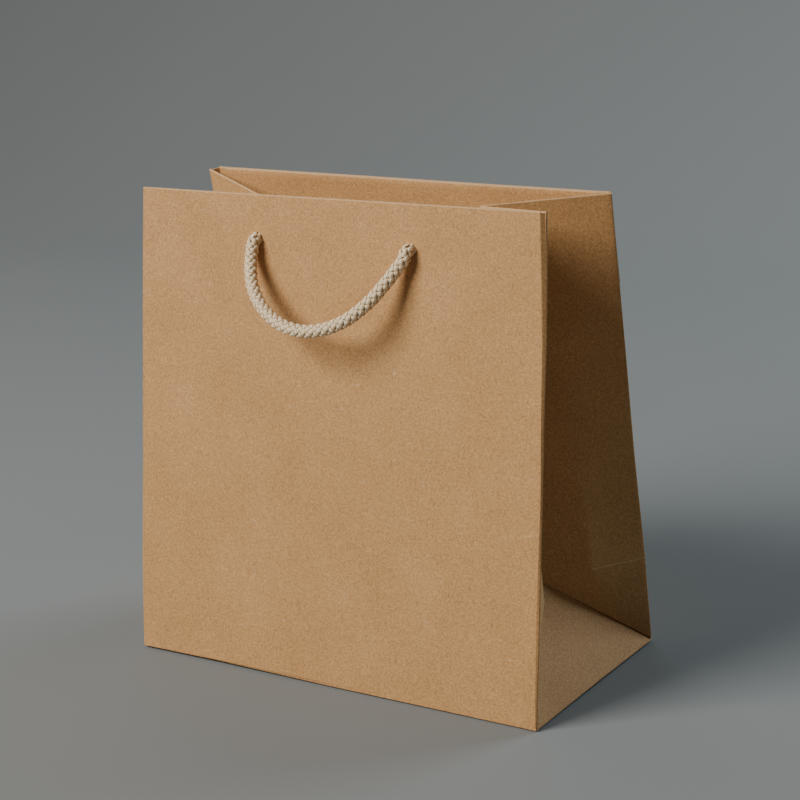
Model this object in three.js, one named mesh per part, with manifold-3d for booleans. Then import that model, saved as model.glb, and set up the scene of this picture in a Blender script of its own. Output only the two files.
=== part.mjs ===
// A kraft paper gift bag with cotton rope handles, standing open.
// Millimetres, +Z up, origin at the middle of the footprint on the floor.
// +X runs across the front wall, the front faces -Y.
import * as THREE from 'three';
import * as BufferGeometryUtils from 'three/addons/utils/BufferGeometryUtils.js';
import Module from 'manifold-3d';

const wasm = await Module();
wasm.setup();

// ---- Driving dimensions ----
const bagWidth = 200;
const bagDepth = 104;
const wallHeight = 204;        // along the paper, from the bottom crease to the top edge
const frontLean = 6.7;         // degrees that the front wall leans in over the base
const backLean = 8.2;
const triangleTilt = 35.5;     // degrees that a base triangle leans in from upright

const paper = 0.5;             // wall, gusset and flap sheets
const hemPaper = 0.4;
const gap = 0.3;               // left between pieces that touch
const topCard = 0.8;           // greyboard strip under the top hem
const baseCard = 1.0;          // greyboard sheet on the bag's bottom

const hemHeight = 38;
const hemInset = 0.8;          // the hem and strip stop this far below the wall's top edge
const stripHeight = 33;
const hemHalfWidth = 93;
const stripHalfWidth = 90;

const holeSpacing = 74.6;      // between the two holes of one handle
const holeHeight = 186;        // up the wall
const holeRadius = 3.0;
const cordRadius = 2.65;
const knotRadius = 6.3;
const knotDepth = 11.5;
const tailLength = 19;
const tailSlant = 12;          // degrees that a knot's tail leans outwards

const flapOverlap = 20;        // how far the front and back flaps go past the bottom's middle
const flapStep = 6;            // length of the back flap's slope up onto the front flap
const sideFlapReach = 46;
const sideFlapEnd = 10;        // half the width of a side flap's inner end
const bottomInset = 2.6;       // between a side flap's crease and the bag's side
const bottomSetback = 2.2;     // between the side flaps or the card and the front and back
const cardInset = 4.5;         // the card's ends stop this far inside the bag's width

const halfWidth = bagWidth / 2;
const halfDepth = bagDepth / 2;
const seamTabWidth = 14;
const seamTabInset = 1.5;
const seamTabFoot = 5;
const creaseInset = 0.5;       // bare stretch of a sheet beside a crease
const cornerInset = 1.5;       // how far a gusset's edge stands inside the wall's outer face
const gussetFoot = 3.2;        // how far up a wall its gussets start
const tipClearance = 1.2;      // between the tip of a base triangle and the centre crease
const creaseLength = 160;      // of the centre crease, roughly
const hemEnds = [0.01, 0.1];   // bare ends of a gusset's hem, as shares: at the crease, at the wall
const hemTop = 0.995;

// The centre crease of the right gusset, from the tip of the base triangle to the mouth.
const triangleTip = new THREE.Vector3(
  halfWidth - halfDepth * Math.sin(THREE.MathUtils.degToRad(triangleTilt)),
  0,
  halfDepth * Math.cos(THREE.MathUtils.degToRad(triangleTilt)),
);
const creaseTop = new THREE.Vector3(54.6, -3.0, 198.0);

// The handle's loop, in a plane that hangs from its holes: across the wall, and down from the holes.
const loopTilt = 26;           // degrees that this plane stands off the wall
const loopStandOff = 1;        // where the plane meets the holes, outside the wall's face
const exitRoute = [[0.4, 0], [1.8, 0], [4.0, 1.3], [5.0, 4.0]];   // out from the wall, down from a hole
const loopRoute = [
  [-37.0, 8.6], [-33.0, 19.4], [-26.1, 28.0], [-15.9, 34.7], [-4.5, 37.6],
  [7.4, 36.2], [17.3, 31.2], [25.5, 23.1], [30.9, 14.6], [34.4, 8.0],
];

// ---- Colours ----
const kraft = { color: 0xbe9970, roughness: 0.9, metalness: 0 };
const greyBoard = { color: 0x9c9488, roughness: 0.95, metalness: 0 };
const cotton = { color: 0xe1d0b9, roughness: 0.95, metalness: 0 };

function piece(name, geometry, look) {
  const mesh = new THREE.Mesh(geometry, new THREE.MeshStandardMaterial(look));
  mesh.name = name;
  return mesh;
}

// ---- Shape helpers ----

// A slab with its low corner and its high corner at these places.
function slab(low, high) {
  const size = high.map((value, axis) => value - low[axis]);
  const geometry = new THREE.BoxGeometry(...size);
  return geometry.translate(...low.map((value, axis) => value + size[axis] / 2));
}

// A closed sheet whose points come from place(u, v, depth), for u and v in 0..1.
function bentSheet(place, near, far, stepsAcross, stepsUp) {
  const geometry = new THREE.BoxGeometry(1, 1, 1, stepsAcross, stepsUp, 1);
  const points = geometry.attributes.position;
  for (let i = 0; i < points.count; i += 1) {
    const depth = points.getZ(i) > 0 ? far : near;
    const spot = place(points.getX(i) + 0.5, points.getY(i) + 0.5, depth);
    points.setXYZ(i, spot.x, spot.y, spot.z);
  }
  geometry.computeVertexNormals();
  return geometry;
}

function toSolid(geometry) {
  const bare = new THREE.BufferGeometry();
  bare.setAttribute('position', geometry.attributes.position.clone());
  if (geometry.index) {
    bare.setIndex(geometry.index.clone());
  }
  const merged = BufferGeometryUtils.mergeVertices(bare, 1e-4);
  return new wasm.Manifold(new wasm.Mesh({
    numProp: 3,
    vertProperties: Float32Array.from(merged.attributes.position.array),
    triVerts: Uint32Array.from(merged.index.array),
  }));
}

function toGeometry(solid) {
  const mesh = solid.getMesh();
  const geometry = new THREE.BufferGeometry();
  geometry.setAttribute('position', new THREE.BufferAttribute(mesh.vertProperties, mesh.numProp));
  geometry.setIndex(new THREE.BufferAttribute(mesh.triVerts, 1));
  geometry.computeVertexNormals();
  return geometry;
}

// ---- Walls ----
// A wall is built in its own frame: x across, y into the bag from the outer face, z up the paper.

// A sheet of the wall with the two handle holes through it.
function holedSheet(halfAcross, low, high, near, far) {
  const outline = new THREE.Shape([
    new THREE.Vector2(-halfAcross, low),
    new THREE.Vector2(halfAcross, low),
    new THREE.Vector2(halfAcross, high),
    new THREE.Vector2(-halfAcross, high),
  ]);
  for (const side of [-1, 1]) {
    const hole = new THREE.Path();
    hole.absarc(side * holeSpacing / 2, holeHeight, holeRadius, 0, 2 * Math.PI, true);
    outline.holes.push(hole);
  }
  const options = { depth: far - near, bevelEnabled: false, curveSegments: 12 };
  const geometry = new THREE.ExtrudeGeometry(outline, options);
  return geometry.rotateX(Math.PI / 2).translate(0, far, 0);
}

// The knot inside the bag, with the short neck of cord that fills the hole and a cut tail.
function knot(side) {
  const neckEnd = paper + gap + topCard + gap + hemPaper + gap;
  const profile = [
    new THREE.Vector2(0, 0),
    new THREE.Vector2(cordRadius, 0),
    new THREE.Vector2(cordRadius, neckEnd),
  ];
  const bulgeSteps = 7;
  const shoulder = 0.7;          // under 1 for a knot that is fuller at its ends
  const tailPlace = 0.55;        // of the knot's depth
  for (let i = 1; i <= bulgeSteps; i += 1) {
    const angle = Math.PI * i / (bulgeSteps + 1);
    profile.push(new THREE.Vector2(
      knotRadius * Math.sin(angle) ** shoulder,
      neckEnd + knotDepth * (1 - Math.cos(angle)) / 2,
    ));
  }
  profile.push(new THREE.Vector2(0, neckEnd + knotDepth));
  const bulge = new THREE.LatheGeometry(profile, 16);
  const tail = new THREE.CylinderGeometry(cordRadius, cordRadius, tailLength, 10);
  tail.rotateX(Math.PI / 2).translate(0, 0, -tailLength / 2);
  tail.rotateY(THREE.MathUtils.degToRad(-tailSlant * side));
  tail.translate(0, neckEnd + knotDepth * tailPlace, 0);
  const joined = toSolid(bulge).add(toSolid(tail));
  return toGeometry(joined).translate(side * holeSpacing / 2, 0, holeHeight);
}

// One handle's free rope, from just outside one hole to just outside the other.
function loop() {
  const tilt = THREE.MathUtils.degToRad(loopTilt);
  const exits = side => exitRoute.map(([out, down]) => new THREE.Vector3(
    side * holeSpacing / 2,
    -out,
    holeHeight - down,
  ));
  const hanging = loopRoute.map(([across, down]) => new THREE.Vector3(
    across,
    -loopStandOff - down * Math.sin(tilt),
    holeHeight - down * Math.cos(tilt),
  ));
  const route = new THREE.CatmullRomCurve3([...exits(-1), ...hanging, ...exits(1).reverse()]);
  const section = new THREE.Shape();
  section.absarc(0, 0, cordRadius, 0, 2 * Math.PI);
  const options = { steps: 44, extrudePath: route, curveSegments: 5 };
  return new THREE.ExtrudeGeometry(section, options);
}

function wall(name, lean, turn) {
  const group = new THREE.Group();
  const top = wallHeight - hemInset;
  const cardNear = paper + gap;
  const hemNear = cardNear + topCard + gap;
  const flapTop = paper + gap;
  group.add(
    piece(`${name}_panel`, holedSheet(halfWidth, flapTop, wallHeight, 0, paper), kraft),
    piece(
      `${name}_top_card`,
      holedSheet(stripHalfWidth, top - stripHeight, top, cardNear, cardNear + topCard),
      greyBoard,
    ),
    piece(
      `${name}_top_hem`,
      holedSheet(hemHalfWidth, top - hemHeight, top, hemNear, hemNear + hemPaper),
      kraft,
    ),
    piece(`${name}_knot_left`, knot(-turn), cotton),
    piece(`${name}_knot_right`, knot(turn), cotton),
    piece(`${name}_handle`, loop(), cotton),
  );
  group.rotation.set(THREE.MathUtils.degToRad(-lean), 0, 0);
  const placed = new THREE.Group();
  placed.add(group);
  placed.rotation.z = turn > 0 ? 0 : Math.PI;
  placed.position.y = -turn * halfDepth;
  return placed;
}

// The strip of the tube's paper that is glued down inside the back wall's edge.
function seamTab() {
  const near = paper + gap;
  const edge = halfWidth - seamTabInset;
  const top = wallHeight - hemInset - hemHeight - 1;
  const low = [edge - seamTabWidth, near, seamTabFoot];
  const high = [edge, near + hemPaper, top];
  return piece('side_seam_tab', slab(low, high), kraft);
}

// ---- Gussets ----

// A point on a wall's side edge, this far up the wall and inside its outer face.
function wallEdge(half, side, up) {
  const lean = THREE.MathUtils.degToRad(half < 0 ? frontLean : backLean);
  return new THREE.Vector3(
    side * (halfWidth - gap),
    half * (halfDepth - up * Math.sin(lean) - cornerInset * Math.cos(lean)),
    up * Math.cos(lean) - cornerInset * Math.sin(lean),
  );
}

// Places points on one half of a gusset. The paper goes from a wall's edge to the centre crease,
// and from the base triangle's slanting edge to the mouth. Depth runs towards the bag's inside.
function gussetHalf(half, side) {
  const corner = wallEdge(half, side, gussetFoot);
  const mouth = wallEdge(half, side, wallHeight);
  const mirrored = point => new THREE.Vector3(side * point.x, point.y, point.z);
  const tip = mirrored(triangleTip).add(new THREE.Vector3(0, half * creaseInset, tipClearance));
  const top = mirrored(creaseTop).add(new THREE.Vector3(0, half * creaseInset, 0));
  const inOrder = half * side > 0;
  return (u, v, depth) => {
    const across = inOrder ? u : 1 - u;
    const lower = corner.clone().lerp(tip, across);
    const upper = mouth.clone().lerp(top, across);
    const alongEdge = tip.clone().sub(corner).lerp(top.clone().sub(mouth), v);
    const inward = alongEdge.cross(upper.clone().sub(lower)).normalize();
    const facing = inOrder ? 1 : -1;
    return lower.clone().lerp(upper, v).addScaledVector(inward, facing * depth);
  };
}

function gusset(side, name) {
  const group = new THREE.Group();
  for (const [half, place] of [[-1, 'front'], [1, 'back']]) {
    const spot = gussetHalf(half, side);
    const sheet = bentSheet(spot, 0, paper, 10, 20);
    const hemLow = 1 - hemHeight / creaseLength;
    const [atCrease, atWall] = hemEnds;
    const from = half * side > 0 ? atWall : atCrease;
    const hemSpan = 1 - atCrease - atWall;
    const hemSpot = (u, v, depth) => spot(from + u * hemSpan, hemLow + v * (hemTop - hemLow), depth);
    const hem = bentSheet(hemSpot, paper + gap, paper + gap + hemPaper, 6, 4);
    group.add(
      piece(`${name}_gusset_${place}`, sheet, kraft),
      piece(`${name}_gusset_${place}_hem`, hem, kraft),
    );
  }
  return group;
}

// The triangle that a gusset folds along at its foot, leaning in over the base.
function baseTriangle(side, name) {
  const foot = 2.3;
  const slantInset = 0.9;
  const outline = new THREE.Shape([
    new THREE.Vector2(-halfDepth + foot + slantInset, foot),
    new THREE.Vector2(halfDepth - foot - slantInset, foot),
    new THREE.Vector2(0, halfDepth - slantInset),
  ]);
  const geometry = new THREE.ExtrudeGeometry(outline, { depth: paper, bevelEnabled: false });
  geometry.rotateX(Math.PI / 2).rotateZ(side > 0 ? Math.PI / 2 : -Math.PI / 2);
  geometry.translate(-side * paper, 0, 0);
  const mesh = piece(`${name}_base_triangle`, geometry, kraft);
  mesh.rotation.y = -side * THREE.MathUtils.degToRad(triangleTilt);
  mesh.position.x = side * halfWidth;
  return mesh;
}

// ---- Bottom ----

// Four flaps folded under the bag: front over back, both over the two side flaps, and a card on top.
function bottom() {
  const group = new THREE.Group();
  const frontFlap = slab([-halfWidth, -halfDepth, 0], [halfWidth, flapOverlap, paper]);

  const lifted = paper + gap;
  const backProfile = new THREE.Shape([
    new THREE.Vector2(halfDepth, 0),
    new THREE.Vector2(halfDepth, paper),
    new THREE.Vector2(flapOverlap + flapStep, paper),
    new THREE.Vector2(flapOverlap, lifted + paper),
    new THREE.Vector2(-flapOverlap, lifted + paper),
    new THREE.Vector2(-flapOverlap, lifted),
    new THREE.Vector2(flapOverlap, lifted),
    new THREE.Vector2(flapOverlap + flapStep, 0),
  ]);
  const backFlap = new THREE.ExtrudeGeometry(backProfile, { depth: bagWidth, bevelEnabled: false });
  backFlap.rotateX(Math.PI / 2).rotateZ(Math.PI / 2).translate(-halfWidth, 0, 0);

  const sideLow = lifted + paper + gap;
  const cardLow = sideLow + paper + gap;
  const outer = halfWidth - bottomInset;
  const inner = outer - sideFlapReach;
  const reach = halfDepth - bottomSetback;
  const cardReach = halfWidth - cardInset;
  group.add(
    piece('bottom_front_flap', frontFlap, kraft),
    piece('bottom_back_flap', backFlap, kraft),
  );
  for (const [side, name] of [[-1, 'left'], [1, 'right']]) {
    const outline = new THREE.Shape([
      new THREE.Vector2(side * outer, -reach),
      new THREE.Vector2(side * outer, reach),
      new THREE.Vector2(side * inner, sideFlapEnd),
      new THREE.Vector2(side * inner, -sideFlapEnd),
    ]);
    const flap = new THREE.ExtrudeGeometry(outline, { depth: paper, bevelEnabled: false });
    group.add(piece(`bottom_${name}_flap`, flap.translate(0, 0, sideLow), kraft));
  }
  const card = slab([-cardReach, -reach, cardLow], [cardReach, reach, cardLow + baseCard]);
  group.add(piece('bottom_card', card, greyBoard));
  return group;
}

// ---- The bag ----
const bag = new THREE.Group();
const frontWall = wall('front', frontLean, 1);
const backWall = wall('back', backLean, -1);
backWall.children[0].add(seamTab());
bag.add(bottom(), frontWall, backWall);
for (const [side, name] of [[-1, 'left'], [1, 'right']]) {
  bag.add(gusset(side, name), baseTriangle(side, name));
}

export default bag;
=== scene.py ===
import math

import bpy
from mathutils import Matrix, Vector


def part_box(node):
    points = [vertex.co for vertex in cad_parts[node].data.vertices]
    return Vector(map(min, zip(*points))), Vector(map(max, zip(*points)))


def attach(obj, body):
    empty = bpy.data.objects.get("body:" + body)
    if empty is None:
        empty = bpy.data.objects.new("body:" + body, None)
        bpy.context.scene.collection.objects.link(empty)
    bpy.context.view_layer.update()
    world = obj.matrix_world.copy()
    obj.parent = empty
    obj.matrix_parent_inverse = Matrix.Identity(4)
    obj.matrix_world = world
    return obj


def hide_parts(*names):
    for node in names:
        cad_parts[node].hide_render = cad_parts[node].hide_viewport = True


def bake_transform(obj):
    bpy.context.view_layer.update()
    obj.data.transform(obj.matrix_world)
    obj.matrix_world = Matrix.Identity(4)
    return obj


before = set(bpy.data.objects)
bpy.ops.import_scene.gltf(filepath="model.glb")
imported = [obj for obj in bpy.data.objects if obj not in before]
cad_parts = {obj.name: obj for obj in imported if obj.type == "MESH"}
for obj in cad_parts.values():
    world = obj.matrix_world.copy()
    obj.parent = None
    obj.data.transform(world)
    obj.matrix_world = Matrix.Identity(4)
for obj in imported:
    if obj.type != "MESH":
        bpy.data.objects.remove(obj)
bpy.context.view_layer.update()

mm = 0.001

# The bag's plan, shared by every piece. Leans are in degrees.
bag = {
    "halfWidth": 100 * mm,
    "halfDepth": 52 * mm,
    "wallHeight": 204 * mm,
    "lean": {"front": 6.7, "back": 8.2},
    "facing": {"front": -1, "back": 1},       # which way along Y each wall faces
    "triangleTip": Vector((69.8, 0, 42.4)) * mm,
    "creaseTop": Vector((54.6, -3.0, 198.6)) * mm,
    "paper": 0.42 * mm,
    "hem": 38 * mm,
    "foot": 1.6 * mm,                         # how far the bottom fold comes up a wall
    "leftCreaseDrop": 1.7 * mm,               # the left gusset's crease ends this much lower
}
sides = {"left": -1, "right": 1}
walls = ("front", "back")

# How a wall's corner runs up its side: height up the paper, how far in the fold is from the full width,
# and how wide the strip is that rounds the corner between the wall's face and the gusset.
corners = {
    ("front", -1): [(1.6, 0.0, 0.7), (41, 0.0, 0.7), (92, 0.0, 0.8), (154, 0.7, 0.9), (204, 1.4, 1.0)],
    ("front", 1): [(1.6, 0.3, 0.7), (41, 1.0, 0.7), (92, 0.8, 0.8), (154, 1.1, 1.9), (204, 2.7, 3.1)],
    ("back", -1): [(1.6, 0.0, 0.7), (41, 0.0, 0.7), (92, 0.0, 0.8), (154, 0.3, 1.9), (204, 0.9, 5.2)],
    ("back", 1): [(1.6, 0.0, 0.7), (41, 0.0, 0.8), (92, 0.2, 0.8), (154, 0.1, 0.9), (204, 0.0, 1.2)],
}
cornerLook = {
    "narrowest": 1,               # millimetres: a narrower strip is turned by all of its width
    "turnShare": 0.72,
    "bare": 0.6 * mm,             # of the wall's face beside a narrow strip
}
rise = {                                      # of the mouth at a corner, in millimetres
    ("front", -1): 0.3, ("front", 1): 0.2,
    ("back", -1): 2.2, ("back", 1): 0.4,
}


def deselectAll():
    if bpy.context.mode != "OBJECT":
        bpy.ops.object.mode_set(mode="OBJECT")
    bpy.ops.object.select_all(action="DESELECT")


def pick(piece):
    deselectAll()
    piece.select_set(True)
    bpy.context.view_layer.objects.active = piece


def applyModifier(piece, kind, **settings):
    pick(piece)
    modifier = piece.modifiers.new(kind.title(), kind)
    for setting, value in settings.items():
        setattr(modifier, setting, value)
    bpy.ops.object.modifier_apply(modifier=modifier.name)


def applyPlace(piece):
    pick(piece)
    bpy.ops.object.transform_apply(location=True, rotation=True, scale=True)


def finish(piece, nodes, body=None):
    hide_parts(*nodes)
    if body:
        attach(piece, body)


# A point on a wall: across it, up its paper, and into the bag from its outer face.
def onWall(wall, across, up, depth=0.0):
    lean = math.radians(bag["lean"][wall])
    y = bag["halfDepth"] - up * math.sin(lean) - depth * math.cos(lean)
    z = up * math.cos(lean) - depth * math.sin(lean)
    return Vector((across, bag["facing"][wall] * y, z))


def mirrored(point, side):
    return Vector((point.x * side, point.y, point.z))


def creaseTop(side):
    return mirrored(bag["creaseTop"], side) - Vector((0, 0, bag["leftCreaseDrop"] if side < 0 else 0))


# How far the mouth's edge stands above the plan, across a wall.
def mouthRise(wall, across):
    share = (across / bag["halfWidth"] + 1) / 2
    return (rise[wall, -1] * (1 - share) + rise[wall, 1] * share) * mm


def newMaterial(name, roughness, specular=0.3):
    material = bpy.data.materials.new(name)
    material.use_nodes = True
    shader = material.node_tree.nodes["Principled BSDF"]
    shader.inputs["Roughness"].default_value = roughness
    shader.inputs["Specular IOR Level"].default_value = specular
    return material, material.node_tree.nodes, material.node_tree.links, shader


def noiseNode(nodes, links, vector, scale, detail=3.0, roughness=0.55, stretch=None):
    noise = nodes.new("ShaderNodeTexNoise")
    noise.inputs["Scale"].default_value = scale
    noise.inputs["Detail"].default_value = detail
    noise.inputs["Roughness"].default_value = roughness
    if stretch:
        mapping = nodes.new("ShaderNodeMapping")
        mapping.inputs["Scale"].default_value = stretch
        links.new(vector, mapping.inputs["Vector"])
        vector = mapping.outputs["Vector"]
    links.new(vector, noise.inputs["Vector"])
    return noise.outputs["Fac"]


def rampNode(nodes, links, factor, stops):
    ramp = nodes.new("ShaderNodeValToRGB")
    elements = ramp.color_ramp.elements
    elements[0].position, elements[0].color = stops[0][0], (*stops[0][1], 1)
    elements[1].position, elements[1].color = stops[-1][0], (*stops[-1][1], 1)
    for place, color in stops[1:-1]:
        elements.new(place).color = (*color, 1)
    links.new(factor, ramp.inputs["Fac"])
    return ramp.outputs["Color"]


def mixNode(nodes, links, blend, factor, first, second):
    mix = nodes.new("ShaderNodeMix")
    mix.data_type = "RGBA"
    mix.blend_type = blend
    colors = [socket for socket in mix.inputs if socket.type == "RGBA"]
    if isinstance(factor, float):
        mix.inputs["Factor"].default_value = factor
    else:
        links.new(factor, mix.inputs["Factor"])
    for socket, value in zip(colors, (first, second)):
        if isinstance(value, tuple):
            socket.default_value = (*value, 1)
        else:
            links.new(value, socket)
    return [socket for socket in mix.outputs if socket.type == "RGBA"][0]


def bumpNode(nodes, links, shader, height, strength, distance, before=None):
    bump = nodes.new("ShaderNodeBump")
    bump.inputs["Strength"].default_value = strength
    bump.inputs["Distance"].default_value = distance
    links.new(height, bump.inputs["Height"])
    if before:
        links.new(before, bump.inputs["Normal"])
    links.new(bump.outputs["Normal"], shader.inputs["Normal"])
    return bump.outputs["Normal"]


kraft = {
    "color": (0.535, 0.282, 0.104),
    "dark": (0.505, 0.262, 0.094),
    "light": (0.565, 0.303, 0.116),
    "fleck": (0.33, 0.18, 0.075),
    "fibre": (0.68, 0.46, 0.25),
    # the pale colour of cut edges, and also the colour of the painted highlight on folds
    "edge": (0.74, 0.52, 0.30),
    "roughness": 0.74,
    "specular": 0.42,
    "cloudScale": 38,
    "mottleScale": 1150,
    "grainScale": 2600,
    "fibreScale": 900,
    "crossFibreScale": 1100,
    "fibreStretch": (1.0, 1.0, 0.22),
    "crossFibreStretch": (0.25, 0.6, 1.0),
    "fibreBump": (0.25, 0.12 * mm),           # strength, and height
    "mottleBump": (0.35, 0.25 * mm),
    "foldHighlightShare": 0.35,                      # how far the painted highlight on a fold goes toward the pale edge's colour
    "edgeLighten": 0.7,
}


# Brown paper: soft clouds, a fine mottle, and short fibres that lie mostly up the sheet.
def kraftPaper(name, lighten=0.0):
    material, nodes, links, shader = newMaterial(name, kraft["roughness"], kraft["specular"])
    place = nodes.new("ShaderNodeTexCoord").outputs["Object"]
    cloud = noiseNode(nodes, links, place, kraft["cloudScale"], 4)
    mottle = noiseNode(nodes, links, place, kraft["mottleScale"], 4, 0.66)
    grain = noiseNode(nodes, links, place, kraft["grainScale"], 2, 0.7)
    fibres = noiseNode(nodes, links, place, kraft["fibreScale"], 2, 0.6, kraft["fibreStretch"])
    crossFibres = noiseNode(nodes, links, place, kraft["crossFibreScale"], 2, 0.6, kraft["crossFibreStretch"])
    shades = [(0.3, kraft["dark"]), (0.5, kraft["color"]), (0.72, kraft["light"])]
    base = rampNode(nodes, links, cloud, shades)
    mottled = rampNode(nodes, links, mottle, [(0.32, (0.32, 0.32, 0.32)), (0.68, (0.68, 0.68, 0.68))])
    color = mixNode(nodes, links, "OVERLAY", 0.8, base, mottled)
    grained = rampNode(nodes, links, grain, [(0.3, (0.42, 0.42, 0.42)), (0.7, (0.58, 0.58, 0.58))])
    color = mixNode(nodes, links, "OVERLAY", 0.9, color, grained)
    flecks = rampNode(nodes, links, fibres, [(0.66, (0, 0, 0)), (0.74, (0.75, 0.75, 0.75))])
    color = mixNode(nodes, links, "MIX", flecks, color, kraft["fleck"])
    strands = rampNode(nodes, links, crossFibres, [(0.66, (0, 0, 0)), (0.76, (0.7, 0.7, 0.7))])
    color = mixNode(nodes, links, "MIX", strands, color, kraft["fibre"])
    if lighten:
        color = mixNode(nodes, links, "MIX", lighten, color, kraft["edge"])
    links.new(color, shader.inputs["Base Color"])
    fine = bumpNode(nodes, links, shader, fibres, *kraft["fibreBump"])
    bumpNode(nodes, links, shader, mottle, *kraft["mottleBump"], fine)
    return material


greyboard = {
    "light": (0.37, 0.34, 0.30),
    "dark": (0.26, 0.235, 0.20),
    "speck": (0.12, 0.11, 0.12),
    "pulpScale": 700,
    "speckScale": 1500,
    "pulpBump": (0.4, 0.3 * mm),
}


def greyBoard(name):
    material, nodes, links, shader = newMaterial(name, 0.92, 0.15)
    place = nodes.new("ShaderNodeTexCoord").outputs["Object"]
    pulp = noiseNode(nodes, links, place, greyboard["pulpScale"], 4, 0.65)
    specks = noiseNode(nodes, links, place, greyboard["speckScale"], 2, 0.5)
    base = rampNode(nodes, links, pulp, [(0.3, greyboard["dark"]), (0.7, greyboard["light"])])
    dark = rampNode(nodes, links, specks, [(0.64, (0, 0, 0)), (0.72, (0.8, 0.8, 0.8))])
    links.new(mixNode(nodes, links, "MIX", dark, base, greyboard["speck"]), shader.inputs["Base Color"])
    bumpNode(nodes, links, shader, pulp, *greyboard["pulpBump"])
    return material


yarn = {
    "light": (1.0, 0.82, 0.54),
    "dark": (0.84, 0.64, 0.39),
    "flankShade": (0.56, 0.44, 0.30),
    # painted shade: the dark core inside the braid
    "coreShade": (0.17, 0.115, 0.06),
    "plies": 3,
    "plySlant": 0.55,             # turns that the plies make, for each millimetre along a strand
    "sheen": 0.25,
    "fuzzScale": 4200,
    "cloudScale": 500,
    "plyBump": (0.5, 0.12 * mm),
    "fuzzBump": (0.45, 0.18 * mm),
}


# Cotton yarn. The strand's own map runs round it in u, and along it in v, one unit a millimetre.
def cottonYarn(name):
    material, nodes, links, shader = newMaterial(name, 0.93, 0.15)
    shader.inputs["Sheen Weight"].default_value = yarn["sheen"]
    shader.inputs["Sheen Roughness"].default_value = 0.6
    split = nodes.new("ShaderNodeSeparateXYZ")
    links.new(nodes.new("ShaderNodeUVMap").outputs["UV"], split.inputs["Vector"])
    turn = nodes.new("ShaderNodeMath")
    turn.operation = "MULTIPLY_ADD"
    turn.inputs[1].default_value = yarn["plySlant"]
    links.new(split.outputs["Y"], turn.inputs[0])
    links.new(split.outputs["X"], turn.inputs[2])
    waves = nodes.new("ShaderNodeMath")
    waves.operation = "MULTIPLY"
    waves.inputs[1].default_value = 2 * math.pi * yarn["plies"]
    links.new(turn.outputs[0], waves.inputs[0])
    plies = nodes.new("ShaderNodeMath")
    plies.operation = "SINE"
    links.new(waves.outputs[0], plies.inputs[0])
    place = nodes.new("ShaderNodeTexCoord").outputs["Object"]
    fuzz = noiseNode(nodes, links, place, yarn["fuzzScale"], 3, 0.7)
    cloud = noiseNode(nodes, links, place, yarn["cloudScale"], 3, 0.6)
    base = rampNode(nodes, links, cloud, [(0.3, yarn["dark"]), (0.6, yarn["light"])])
    # Painted shade: darker in the grooves between the plies.
    plyGrooveShade = rampNode(nodes, links, plies.outputs[0], [(0.0, yarn["dark"]), (0.45, yarn["light"])])
    color = mixNode(nodes, links, "MIX", 0.5, base, plyGrooveShade)
    crown = nodes.new("ShaderNodeMath")       # 1 along a strand's outer side, less down its flanks and on its inner side, for painted shade there
    crown.operation = "SINE"
    around = nodes.new("ShaderNodeMath")
    around.operation = "MULTIPLY"
    around.inputs[1].default_value = 2 * math.pi
    links.new(split.outputs["X"], around.inputs[0])
    links.new(around.outputs[0], crown.inputs[0])
    # Painted shade: each strand darkens down its flanks and on its inner side.
    flankShade = rampNode(nodes, links, crown.outputs[0], [(0.15, yarn["flankShade"]), (0.75, (1.0, 1.0, 1.0))])
    color = mixNode(nodes, links, "MULTIPLY", 1.0, color, flankShade)
    links.new(color, shader.inputs["Base Color"])
    twisted = bumpNode(nodes, links, shader, plies.outputs[0], *yarn["plyBump"])
    bumpNode(nodes, links, shader, fuzz, *yarn["fuzzBump"], twisted)
    return material


# The rope's dark core: painted shade for the hollow between the strands, seen through the braid's gaps.
def ropeCoreShade(name):
    material, nodes, links, shader = newMaterial(name, 0.95, 0.1)
    place = nodes.new("ShaderNodeTexCoord").outputs["Object"]
    fuzz = noiseNode(nodes, links, place, 1800, 3)
    dark = tuple(0.6 * value for value in yarn["coreShade"])
    color = rampNode(nodes, links, fuzz, [(0.3, dark), (0.7, yarn["coreShade"])])
    links.new(color, shader.inputs["Base Color"])
    return material


camera = {
    "target": Vector((9.2, 0, 112.4)) * mm,
    "azimuth": 33.26,
    "elevation": 15.45,
    "roll": -2.89,
    "distance": 853.6 * mm,
    "lens": 90.8,
}


def addCamera():
    azimuth, elevation = math.radians(camera["azimuth"]), math.radians(camera["elevation"])
    back = Vector((
        math.sin(azimuth) * math.cos(elevation),
        -math.cos(azimuth) * math.cos(elevation),
        math.sin(elevation),
    ))
    deselectAll()
    bpy.ops.object.camera_add(location=camera["target"] + back * camera["distance"])
    view = bpy.context.object
    view.name = "viewCamera"
    roll = Matrix.Rotation(math.radians(camera["roll"]), 3, "Z")
    turned = (-back).to_track_quat("-Z", "Y").to_matrix() @ roll
    view.rotation_mode = "QUATERNION"
    view.rotation_quaternion = turned.to_quaternion()
    view.data.lens = camera["lens"]
    view.data.clip_start = 0.01
    view.data.clip_end = 20
    bpy.context.scene.camera = view


addCamera()
print("camera set")


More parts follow.
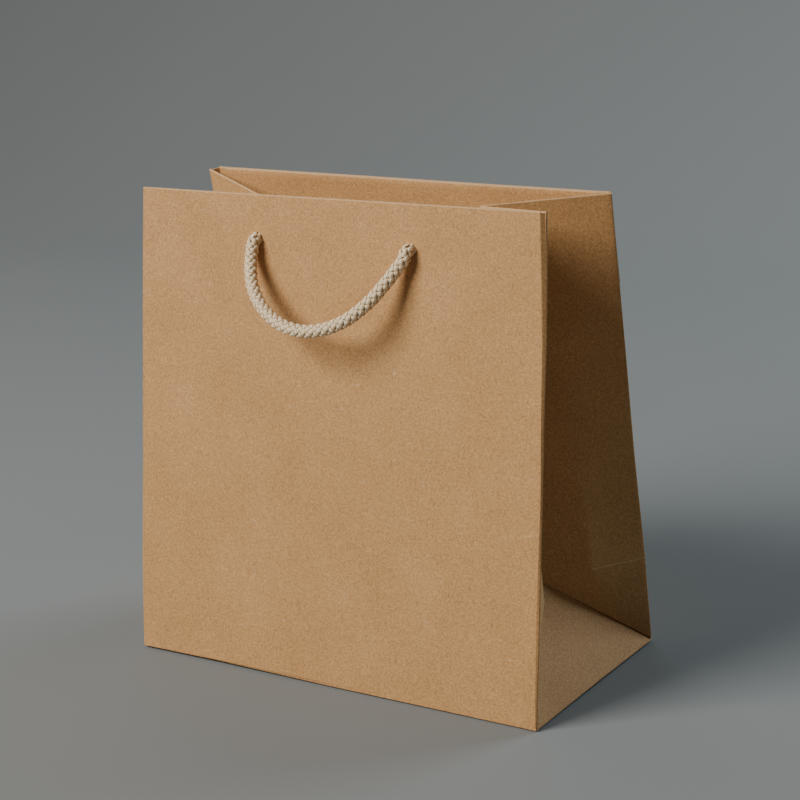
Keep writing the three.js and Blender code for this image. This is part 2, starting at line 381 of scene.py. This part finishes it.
rope = {
    "radius": 2.65 * mm,
    "carriers": 5,                # strands laid each way round
    "layLength": 17.0 * mm,       # along the rope, for one turn of a strand
    "middle": 1.74 * mm,          # from the rope's axis to a strand's own
    "weave": 0.46 * mm,           # how far a strand goes over and under
    "strandWide": 0.98 * mm,      # half widths of a strand
    "strandThick": 0.60 * mm,
    "strandSides": 10,
    "stepsPerCrossing": 5,
    "coreRadius": 1.45 * mm,
    "coreSides": 12,
    "holeSpacing": 74.6 * mm,
    "holeHeight": 186 * mm,
    "holeRadius": 2.62 * mm,
    "tilt": 26,                   # degrees that the loop's plane stands off the wall
    "standOff": 1 * mm,
    "bendStart": (0, 1 * mm),     # down from a hole and into the wall: the rope's bend as it swings
    "bendEnd": (12 * mm, -7 * mm),
    "exit": [(-1.4, 0), (1.3, 0.0), (2.7, 1.3), (3.5, 4.0)],   # out from the wall, down from a hole
    "exitShift": {-1: 0, 1: 0.2},             # toward the middle, for each millimetre down
    "loop": [
        (-37.0, 8.6), (-33.0, 19.4), (-26.1, 28.0), (-15.9, 34.7), (-4.5, 37.6),
        (7.4, 36.2), (17.3, 31.2), (25.5, 23.1), (30.9, 14.6), (34.4, 8.0),
    ],
}


# A smooth curve through the points, at even steps along it.
def smoothPath(points, step):
    extended = [2 * points[0] - points[1], *points, 2 * points[-1] - points[-2]]
    dense = []
    for first, start, end, last in zip(extended, extended[1:], extended[2:], extended[3:]):
        knots = [0.0]
        for a, b in ((first, start), (start, end), (end, last)):
            knots.append(knots[-1] + max((b - a).length, 1e-6) ** 0.5)
        for k in range(24):
            t = knots[1] + (knots[2] - knots[1]) * k / 24
            near = [
                a.lerp(b, (t - knots[i]) / (knots[i + 1] - knots[i]))
                for i, (a, b) in enumerate(((first, start), (start, end), (end, last)))
            ]
            inner = [
                near[i].lerp(near[i + 1], (t - knots[i]) / (knots[i + 2] - knots[i]))
                for i in range(2)
            ]
            dense.append(inner[0].lerp(inner[1], (t - knots[1]) / (knots[2] - knots[1])))
    dense.append(points[-1].copy())
    lengths = [0.0]
    for a, b in zip(dense, dense[1:]):
        lengths.append(lengths[-1] + (b - a).length)
    count = max(4, round(lengths[-1] / step))
    even, k = [], 0
    for i in range(count + 1):
        want = lengths[-1] * i / count
        while k < len(lengths) - 2 and lengths[k + 1] < want:
            k += 1
        share = (want - lengths[k]) / max(lengths[k + 1] - lengths[k], 1e-9)
        even.append(dense[k].lerp(dense[k + 1], min(1, share)))
    return even


# Direction, and two directions across the curve that turn with it and don't twist.
def pathFrames(points):
    frames = []
    across = None
    for i in range(len(points)):
        ahead = (points[min(i + 1, len(points) - 1)] - points[max(i - 1, 0)]).normalized()
        if across is None:
            across = ahead.orthogonal().normalized()
        across = (across - ahead * across.dot(ahead)).normalized()
        frames.append((ahead, across, ahead.cross(across)))
    return frames


# A closed tube of elliptical section. Each row holds a centre and the section's two half axes.
def addTube(rows, facets, points, faces, maps, slots, slotIndex, lengthStep):
    start = len(points)
    for centre, wide, thick in rows:
        for k in range(facets):
            angle = 2 * math.pi * k / facets
            points.append(centre + wide * math.cos(angle) + thick * math.sin(angle))
    for i in range(len(rows) - 1):
        for k in range(facets):
            a, b = start + i * facets + k, start + i * facets + (k + 1) % facets
            faces.append((a, b, b + facets, a + facets))
            u, v = k / facets, i * lengthStep
            across, along = u + 1 / facets, v + lengthStep
            maps.append(((u, v), (across, v), (across, along), (u, along)))
            slots.append(slotIndex)
    last = start + (len(rows) - 1) * facets
    startCap = tuple(start + k for k in reversed(range(facets)))
    endCap = tuple(last + k for k in range(facets))
    for cap in (startCap, endCap):
        faces.append(cap)
        maps.append(tuple((0.5, 0.0) for _ in cap))
        slots.append(slotIndex)


# Round braid along a route: strands go both ways round, over one and under one.
def braidedRope(name, route):
    step = rope["layLength"] / (2 * rope["carriers"] * rope["stepsPerCrossing"])
    line = smoothPath(route, step)
    frames = pathFrames(line)
    points, faces, maps, slots = [], [], [], []
    for hand in (1, -1):
        for carrier in range(rope["carriers"]):
            rows = []
            for i, (centre, (ahead, across, up)) in enumerate(zip(line, frames)):
                turn = 2 * math.pi * i * step / rope["layLength"]
                angle = hand * turn + 2 * math.pi * carrier / rope["carriers"]
                weave = hand * math.cos(rope["carriers"] * turn)
                out = across * math.cos(angle) + up * math.sin(angle)
                sideways = hand * (up * math.cos(angle) - across * math.sin(angle))
                reach = rope["middle"] + rope["weave"] * weave
                spin = 2 * math.pi * reach / rope["layLength"]
                along = (ahead + sideways * spin).normalized()
                wide = out.cross(along).normalized()
                rows.append((centre + out * reach, wide * rope["strandWide"], out * rope["strandThick"]))
            addTube(rows, rope["strandSides"], points, faces, maps, slots, 0, step * 1000)
    # A dark core tube inside the strands: painted shade seen through the braid's gaps.
    coreRows = [
        (centre, across * rope["coreRadius"], up * rope["coreRadius"])
        for centre, (ahead, across, up) in zip(line[::2], frames[::2])
    ]
    addTube(coreRows, rope["coreSides"], points, faces, maps, slots, 1, step * 2000)
    mesh = bpy.data.meshes.new(name)
    mesh.from_pydata(points, [], faces)
    layer = mesh.uv_layers.new(name="strand")
    spots = [spot for face in maps for spot in face]
    layer.data.foreach_set("uv", [value for spot in spots for value in spot])
    mesh.materials.append(cotton)
    mesh.materials.append(coreShade)
    mesh.polygons.foreach_set("material_index", slots)
    piece = bpy.data.objects.new(name, mesh)
    bpy.context.collection.objects.link(piece)
    pick(piece)
    bpy.ops.object.mode_set(mode="EDIT")
    bpy.ops.mesh.select_all(action="SELECT")
    bpy.ops.mesh.normals_make_consistent(inside=False)
    bpy.ops.object.mode_set(mode="OBJECT")
    bpy.ops.object.shade_smooth()
    return piece, line


# Where a handle's rope runs, in the same points as its solid. The back wall's left is seen from behind.
def handleRoute(wall):
    turn = -bag["facing"][wall]
    tilt = math.radians(rope["tilt"])

    def exits(side):
        return [
            onWall(
                wall, turn * side * (rope["holeSpacing"] / 2 - rope["exitShift"][side] * down * mm),
                rope["holeHeight"] - down * mm, -out * mm,
            )
            for out, down in rope["exit"]
        ]

    hanging = [
        onWall(
            wall,
            turn * across * mm,
            rope["holeHeight"] - down * mm * math.cos(tilt),
            -rope["standOff"] - down * mm * math.sin(tilt),
        )
        for across, down in rope["loop"]
    ]
    return [*exits(-1), *hanging, *reversed(exits(1))]


def ropeHandle(wall):
    piece, line = braidedRope(f"{wall}RopeHandle", handleRoute(wall))
    finish(piece, [f"{wall}_handle"])
    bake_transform(piece)


# Out from the bag's middle, up, and into the bag, from a hole.
knotRoute = [
    (0, 0, 0.2), (0, 0, 3.0), (1.2, 1.8, 6.0), (3.6, 2.2, 9.4), (3.2, -1.8, 12.6), (-1.0, -3.9, 12.0),
    (-4.0, -2.6, 8.6), (-3.6, 1.9, 6.2), (-0.6, 4.4, 8.0), (1.4, 2.2, 11.2), (0.2, -2.2, 9.2),
    (-0.4, -7.0, 6.9), (-0.6, -12.0, 6.6), (-1.4, -18.5, 6.8),
]


# An overhand knot: the rope comes in through the hole, goes round and through itself, and ends in a tail.
def ropeKnot(wall, sideName):
    node = f"{wall}_knot_{sideName}"
    low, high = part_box(node)
    side = 1 if low[0] + high[0] > 0 else -1
    hole = rope["holeSpacing"] / 2
    route = [
        onWall(wall, side * (hole + out * mm), rope["holeHeight"] + up * mm, depth * mm)
        for out, up, depth in knotRoute
    ]
    piece, _ = braidedRope(f"{wall}Knot{sideName.title()}", route)
    finish(piece, [node], f"{wall}_wall")


cotton = cottonYarn("cottonYarn")
coreShade = ropeCoreShade("ropeCoreShade")
for wall in walls:
    ropeHandle(wall)
    for sideName in sides:
        ropeKnot(wall, sideName)
print("rope handles and knots made")


sheetLook = {
    "waves": 1.1 * mm,
    "waveSize": 70 * mm,
    "foldRadius": 0.45 * mm,
    "foldSteps": 3,
    "foldAngle": 18,              # degrees: a sharper turn than this is a fold
    "smoothAngle": 28,
    "levels": 4,
}
waves = bpy.data.textures.new("paperWaves", "CLOUDS")
waves.noise_scale = sheetLook["waveSize"]
waves.noise_depth = 1


# A grid whose lines run through the points given, side by side, facing outward.
def gridThrough(name, lines, outward, materials=(), highlighted=()):
    columns, rows = len(lines), len(lines[0])
    deselectAll()
    bpy.ops.mesh.primitive_grid_add(x_subdivisions=columns - 1, y_subdivisions=rows - 1, size=0.1)
    sheet = bpy.context.object
    sheet.name = name
    for column, line in enumerate(lines):
        for row, spot in enumerate(line):
            sheet.data.vertices[row * columns + column].co = spot
    for material in materials:
        sheet.data.materials.append(material)
    for index in highlighted:
        sheet.data.polygons[index].material_index = 2
    bpy.ops.object.mode_set(mode="EDIT")
    bpy.ops.mesh.select_all(action="SELECT")
    bpy.ops.mesh.remove_doubles(threshold=0.00005)
    bpy.ops.object.mode_set(mode="OBJECT")
    largest = max(sheet.data.polygons, key=lambda face: face.area)
    if largest.normal.dot(outward) < 0:
        bpy.ops.object.mode_set(mode="EDIT")
        bpy.ops.mesh.select_all(action="SELECT")
        bpy.ops.mesh.flip_normals()
        bpy.ops.object.mode_set(mode="OBJECT")
    return sheet


# A paper sheet folded along its lines, with soft folds, slight waves and its own thickness.
# The faces listed get a painted highlight: paler paper where a fold catches the light.
def foldedSheet(name, lines, outward, radius=None, levels=None, thickness=None, wavy=True, highlighted=()):
    sheet = gridThrough(name, lines, outward, (paper, cutEdge, highlightPaper, cutEdge), highlighted)
    if radius != 0:
        applyModifier(
            sheet, "BEVEL", width=radius or sheetLook["foldRadius"], segments=sheetLook["foldSteps"],
            limit_method="ANGLE", angle_limit=math.radians(sheetLook["foldAngle"]),
        )
    steps = levels or sheetLook["levels"]
    applyModifier(sheet, "SUBSURF", subdivision_type="SIMPLE", levels=steps, render_levels=steps)
    if wavy:
        applyModifier(
            sheet, "DISPLACE", texture=waves, texture_coords="GLOBAL", direction="Y",
            mid_level=0.5, strength=sheetLook["waves"],
        )
    applyModifier(
        sheet, "SOLIDIFY", thickness=thickness or bag["paper"], offset=-1,
        material_offset_rim=1,
    )
    pick(sheet)
    bpy.ops.object.shade_smooth_by_angle(angle=math.radians(sheetLook["smoothAngle"]))
    return sheet


def paint(piece, *materials):
    piece.data.materials.clear()
    for material in materials:
        piece.data.materials.append(material)


paper = kraftPaper("kraftPaper")
# Painted highlight: kraft paled toward the edge colour, for folds and rolls that catch the light.
highlightPaper = kraftPaper("kraftFoldHighlight", lighten=kraft["foldHighlightShare"])
cutEdge = kraftPaper("kraftCutEdge", lighten=kraft["edgeLighten"])
board = greyBoard("greyBoard")


def outwardOf(wall):
    return onWall(wall, 0, 0, -1) - onWall(wall, 0, 0, 0)


# A round hole through a finished sheet of a wall, cut with a rod that is then thrown away.
def punchHoles(sheet, wall):
    for side in (-1, 1):
        deselectAll()
        bpy.ops.mesh.primitive_cylinder_add(vertices=40, radius=rope["holeRadius"], depth=12 * mm)
        rod = bpy.context.object
        rod.matrix_world = Matrix.LocRotScale(
            onWall(wall, side * rope["holeSpacing"] / 2, rope["holeHeight"]),
            outwardOf(wall).to_track_quat("Z", "X"),
            None,
        )
        applyPlace(rod)
        applyModifier(sheet, "BOOLEAN", operation="DIFFERENCE", object=rod, solver="EXACT")
        bpy.data.objects.remove(rod)


# Where a corner's fold and the edge of the wall's face are, at each station of its height.
def cornerStations(wall, side, top):
    stations = []
    for up, narrow, strip in corners[wall, side]:
        up = top if up == corners[wall, side][-1][0] else up * mm
        outer = side * (bag["halfWidth"] - narrow * mm)
        wide = strip > cornerLook["narrowest"]
        turn = strip * mm * cornerLook["turnShare"] if wide else strip * mm
        inner = outer - side * (turn if wide else cornerLook["bare"])
        stations.append((up, outer, inner, turn))
    return stations


def wallPanel(wall):
    lines = []
    edges = {side: cornerStations(wall, side, bag["wallHeight"]) for side in (-1, 1)}
    for share in (0, 0.5, 1):
        line = []
        for left, right in zip(edges[-1], edges[1]):
            across = left[2] * (1 - share) + right[2] * share
            up = left[0]
            if left is edges[-1][-1]:
                up += mouthRise(wall, across) - mouth["rollHeight"]
            line.append(onWall(wall, across, up))
        lines.append(line)
    panel = foldedSheet(f"{wall}Panel", lines, outwardOf(wall), radius=0, levels=5)
    punchHoles(panel, wall)
    finish(panel, [f"{wall}_panel"], f"{wall}_wall")


mouth = {
    "wallRoll": 1.15 * mm,        # half the thickness of the fold along the mouth
    "endRoll": 0.5 * mm,          # the same, at the corners and on the gussets
    "rollHeight": 0.5 * mm,
    "rollEnds": 6 * mm,           # how far from a corner a wall's fold gets its full radius
    "rollSteps": 8,
    "hemTaper": 0.96,             # the hem's lower edge is this much shorter than its top
}


# The wall's top edge turned over and glued down inside.
def wallHem(wall):
    left, right = (cornerStations(wall, side, bag["wallHeight"])[-1][2] for side in (-1, 1))
    lines = []
    for across, radius in (
        (left, "endRoll"), (left + mouth["rollEnds"], "wallRoll"), (0, "wallRoll"),
        (right - mouth["rollEnds"], "wallRoll"), (right, "endRoll"),
    ):
        radius = mouth[radius]
        top = bag["wallHeight"] + mouthRise(wall, across)
        line = []
        for k in range(mouth["rollSteps"] + 1):
            angle = math.pi * k / mouth["rollSteps"]
            up = top - mouth["rollHeight"] * (1 - math.sin(angle))
            line.append(onWall(wall, across, up, radius * (1 - math.cos(angle))))
        lowEdge = bag["wallHeight"] - bag["hem"]
        line.append(onWall(wall, across * mouth["hemTaper"], lowEdge, 2 * mouth["wallRoll"]))
        lines.append(line)
    # The roll along the mouth gets the painted highlight, paler where it catches the light.
    hem = foldedSheet(
        f"{wall}TopHem", lines, -outwardOf(wall), radius=0, levels=4,
        highlighted=range(mouth["rollSteps"] * (len(lines) - 1)),
    )
    punchHoles(hem, wall)
    finish(hem, [f"{wall}_top_hem"], f"{wall}_wall")


gusset = {
    "blendFrom": 4 * mm,          # into the bag from a wall's face
    "blendDepth": 25 * mm,
    "bulge": 4.0 * mm,            # at the middle of the level crease
    "bulgeWay": (0.75, 0.66),     # outward, and away from the wall
    "bulgeAbove": 0.4,            # share of it at the next station up
    "edgeBulge": 0.6 * mm,
    "creaseEnd": 0.997,           # the sheet's end along the centre crease, as a share
    "drop": {"front": 0, "back": 0.5 * mm},
    "lap": 0.5 * mm,              # how far the corner's strip goes over the wall's face
    "lapRise": 0.03 * mm,         # how far out it lies there
    "highlightShare": 0.013,           # of the height above the level crease, for the painted highlight line along the crease
    "highlightFaces": (6,),
    "hemShares": (0.0, 0.35, 0.65, 0.995),    # where the hem's lines run, from the wall to the centre crease
}


# Half of a gusset, with the strip that goes round the corner onto its wall.
def gussetHalf(sideName, wall):
    side = sides[sideName]
    tip = mirrored(bag["triangleTip"], side)
    top = creaseTop(side)
    stations = cornerStations(wall, side, bag["wallHeight"])
    lines = [[], [], [], [], []]
    for k, (up, outer, inner, turn) in enumerate(stations):
        atMouth = k == len(stations) - 1
        if atMouth:
            up += mouthRise(wall, outer) - mouth["rollHeight"]
        lines[0].append(onWall(wall, inner - side * gusset["lap"], up, -gusset["lapRise"]))
        lines[1].append(onWall(wall, inner, up, -gusset["lapRise"]))
        if atMouth:
            up -= gusset["drop"][wall]
        lines[2].append(onWall(wall, outer, up, turn))
        foot = onWall(wall, outer, up, turn)
        rising = (up - stations[1][0]) / (bag["wallHeight"] - stations[1][0])
        crease = foot.lerp(tip, 0.5) if k == 0 else tip.lerp(top, min(rising, gusset["creaseEnd"]))
        lines[3].append(foot.lerp(crease, 0.5))
        lines[4].append(crease)
    sideways, away = gusset["bulgeWay"]
    bulge = Vector((side * sideways, -bag["facing"][wall] * away, 0)) * gusset["bulge"]
    lines[2][1] += Vector((side * gusset["edgeBulge"], 0, 0))
    lines[3][1] += bulge
    lines[3][2] += bulge * gusset["bulgeAbove"]
    for line in lines:
        # A narrow row above the level crease gets the painted highlight where the crease catches the light.
        line.insert(2, line[1].lerp(line[2], gusset["highlightShare"]))
    outward = Vector((side, -bag["facing"][wall] * 0.4, 0))
    half = foldedSheet(f"{sideName}Gusset{wall.title()}", lines, outward, highlighted=gusset["highlightFaces"])
    finish(half, [f"{sideName}_gusset_{wall}"])
    blendAcrossFold(half)


# The sheet's placement is baked into its points.
def blendAcrossFold(piece):
    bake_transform(piece)


def gussetHem(sideName, wall):
    side = sides[sideName]
    stations = cornerStations(wall, side, bag["wallHeight"])
    up, across, _, turn = stations[-1]
    outer = onWall(wall, across, up + mouthRise(wall, across) - gusset["drop"][wall], turn)
    inner = creaseTop(side)
    lowUp, lowAcross, _, lowTurn = stations[1]
    lowOuter, lowInner = onWall(wall, lowAcross, lowUp, lowTurn), mirrored(bag["triangleTip"], side)
    hint = Vector((-side, bag["facing"][wall] * 0.6, 0))
    radius = mouth["endRoll"]
    lines = []
    for share in gusset["hemShares"]:
        top = outer.lerp(inner, share)
        down = (lowOuter.lerp(lowInner, share) - top).normalized()
        inward = down.cross(inner - outer).normalized()
        inward = inward if inward.dot(hint) > 0 else -inward
        line = []
        for k in range(mouth["rollSteps"] + 1):
            angle = math.pi * k / mouth["rollSteps"]
            fold = down * radius * (1 - math.sin(angle)) + inward * radius * (1 - math.cos(angle))
            line.append(top + fold)
        line.append(top + down * bag["hem"] + inward * 2 * radius)
        lines.append(line)
    # The roll gets the painted highlight, paler where it catches the light.
    hem = foldedSheet(
        f"{sideName}Gusset{wall.title()}Hem", lines, hint, radius=0, levels=3,
        highlighted=range(mouth["rollSteps"] * (len(lines) - 1)),
    )
    finish(hem, [f"{sideName}_gusset_{wall}_hem"])
    blendAcrossFold(hem)


triangle = {
    "fold": [(-51.7, 0.45), (0, 0.8), (51.7, 0.5)],   # along the bag's depth, and up off the floor
    "under": 9 * mm,              # how far the fold goes in under the bag
    "underHeight": 1.5 * mm,
    "underShort": 0.84,
}


# The triangle at a gusset's foot, with the fold that takes it under the bag.
def baseTriangle(sideName):
    side = sides[sideName]
    x = bag["halfWidth"]
    tip = mirrored(bag["triangleTip"], side)
    lines = []
    for y, lift in triangle["fold"]:
        underX, underY = side * (x - triangle["under"]), y * triangle["underShort"] * mm
        under = Vector((underX, underY, triangle["underHeight"]))
        fold = Vector((side * x, y * mm, lift * mm))
        lines.append([under, fold, tip])
    sheet = foldedSheet(f"{sideName}BaseTriangle", lines, Vector((side, 0, 0.5)), levels=5)
    finish(sheet, [f"{sideName}_base_triangle"], "base")


bottom = {
    "lift": {                     # off the floor, in millimetres, at places across a wall in half widths
        "front": [(-1, 0.6), (-0.6, 0.9), (0, 0.2), (1, 0)],
        "back": [(-1, 0), (0, 0), (1, 0)],
    },
    "inset": 0.8 * mm,            # a flap's ends from the bag's sides
    "taper": 0.955,
    "far": 20 * mm,               # how far a flap goes past the bag's middle
    "step": 6 * mm,               # the back flap's slope up onto the front one
    "low": 0.1 * mm,
    "high": 0.75 * mm,
}


# The two outer flaps of the bottom, each with the fold that brings it up to its wall.
def bottomFlap(wall):
    facing = bag["facing"][wall]
    far, low, high = bottom["far"], bottom["low"], bottom["high"]
    lines = []
    for share, lift in bottom["lift"][wall]:
        x = share * (bag["halfWidth"] - bottom["inset"])
        line = [onWall(wall, x, bag["foot"] + lift * mm), onWall(wall, x, lift * mm)]
        x *= bottom["taper"]
        if wall == "front":
            line.append(Vector((x, far, low)))
        else:
            route = [(far + bottom["step"], low), (far, high), (-far, high)]
            line += [Vector((x, y, z)) for y, z in route]
        lines.append(line)
    outward = Vector((0, facing * 0.01, -1))
    flap = foldedSheet(f"{wall}BottomFlap", lines, outward, radius=0.5 * mm, wavy=False)
    finish(flap, [f"bottom_{wall}_flap"], "base")


seam = {
    "width": 14 * mm,
    "inset": 1.6 * mm,            # from the bag's side
    "foot": 5 * mm,
    "gap": 1.5 * mm,              # below the hem
    "depth": 0.8 * mm,
    "thickness": 0.35 * mm,
}


def seamTab():
    right = bag["halfWidth"] - seam["inset"]
    top = bag["wallHeight"] - bag["hem"] - seam["gap"]
    lines = [
        [onWall("back", -x, up, seam["depth"]) for up in (seam["foot"], top)]
        for x in (right, right - seam["width"])
    ]
    tab = foldedSheet(
        "sideSeamTab", lines, outwardOf("back"), radius=0, levels=5, thickness=seam["thickness"],
    )
    finish(tab, ["side_seam_tab"], "back_wall")


for wall in walls:
    wallPanel(wall)
    wallHem(wall)
    bottomFlap(wall)
print("walls, hems and outer flaps made")
for sideName in sides:
    baseTriangle(sideName)
    for wall in walls:
        gussetHalf(sideName, wall)
        gussetHem(sideName, wall)
seamTab()
print("gussets and base triangles made")

for nodeName in ("bottom_card", "front_top_card", "back_top_card"):
    paint(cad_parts[nodeName], board)
for sideName in sides:
    paint(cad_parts[f"bottom_{sideName}_flap"], paper)


studio = {
    "floorColor": (0.216, 0.223, 0.218),
    "floorDrop": 0.4 * mm,        # below the bag's lowest point
    "floorWide": 3.2,
    "floorNear": -3.0,
    "bendStart": 0.65,            # where the floor starts to bend up into the backdrop
    "bendRadius": 0.9,
    "backdropTop": 3.2,
    "bendSteps": 20,
    "key": {"place": (-0.84, -1.36, 1.30), "size": 1.0, "power": 53.0, "color": (1.0, 0.985, 0.96)},
    "rim": {"place": (0.72, 1.20, 0.95), "size": 0.8, "power": 15.0, "color": (0.76, 0.90, 1.0)},
    "top": {"place": (-1.1, 1.3, 1.9), "size": 1.2, "power": 8.0, "color": (0.95, 0.98, 1.0)},
    "aim": (0, 0, 0.1),
    "sky": (0.93, 0.98, 1.0),
    "skyStrength": 0.05,
}


# A floor that bends up into a backdrop behind the bag.
def addFloor():
    turns = [math.pi / 2 * k / studio["bendSteps"] for k in range(studio["bendSteps"] + 1)]
    radius = studio["bendRadius"]
    bend = [(studio["bendStart"] + radius * math.sin(a), radius * (1 - math.cos(a))) for a in turns]
    profile = [(studio["floorNear"], 0), *bend, (bend[-1][0], studio["backdropTop"])]
    lines = [
        [Vector((x, y, z - studio["floorDrop"])) for y, z in profile]
        for x in (-studio["floorWide"], studio["floorWide"])
    ]
    floor = gridThrough("studioFloor", lines, Vector((0, -0.2, 1)))
    bpy.ops.object.shade_smooth()
    material, nodes, links, shader = newMaterial("studioFloor", 0.9, 0.1)
    place = nodes.new("ShaderNodeTexCoord").outputs["Object"]
    cloud = noiseNode(nodes, links, place, 3, 3)
    dark = tuple(0.97 * value for value in studio["floorColor"])
    color = rampNode(nodes, links, cloud, [(0.3, dark), (0.7, studio["floorColor"])])
    links.new(color, shader.inputs["Base Color"])
    paint(floor, material)


def addLight(name, light):
    deselectAll()
    bpy.ops.object.light_add(type="AREA", location=light["place"])
    lamp = bpy.context.object
    lamp.name = name
    lamp.data.size = light["size"]
    lamp.data.energy = light["power"]
    lamp.data.color = light["color"]
    lamp.visible_camera = False
    aim = Vector(studio["aim"]) - Vector(light["place"])
    lamp.rotation_euler = aim.to_track_quat("-Z", "Y").to_euler()


def addSky():
    world = bpy.data.worlds.new("studioSky")
    world.use_nodes = True
    background = world.node_tree.nodes["Background"]
    background.inputs["Color"].default_value = (*studio["sky"], 1)
    background.inputs["Strength"].default_value = studio["skyStrength"]
    bpy.context.scene.world = world


addFloor()
addLight("keyLight", studio["key"])
addLight("rimLight", studio["rim"])
addLight("topLight", studio["top"])
addSky()
print("floor and lights made")
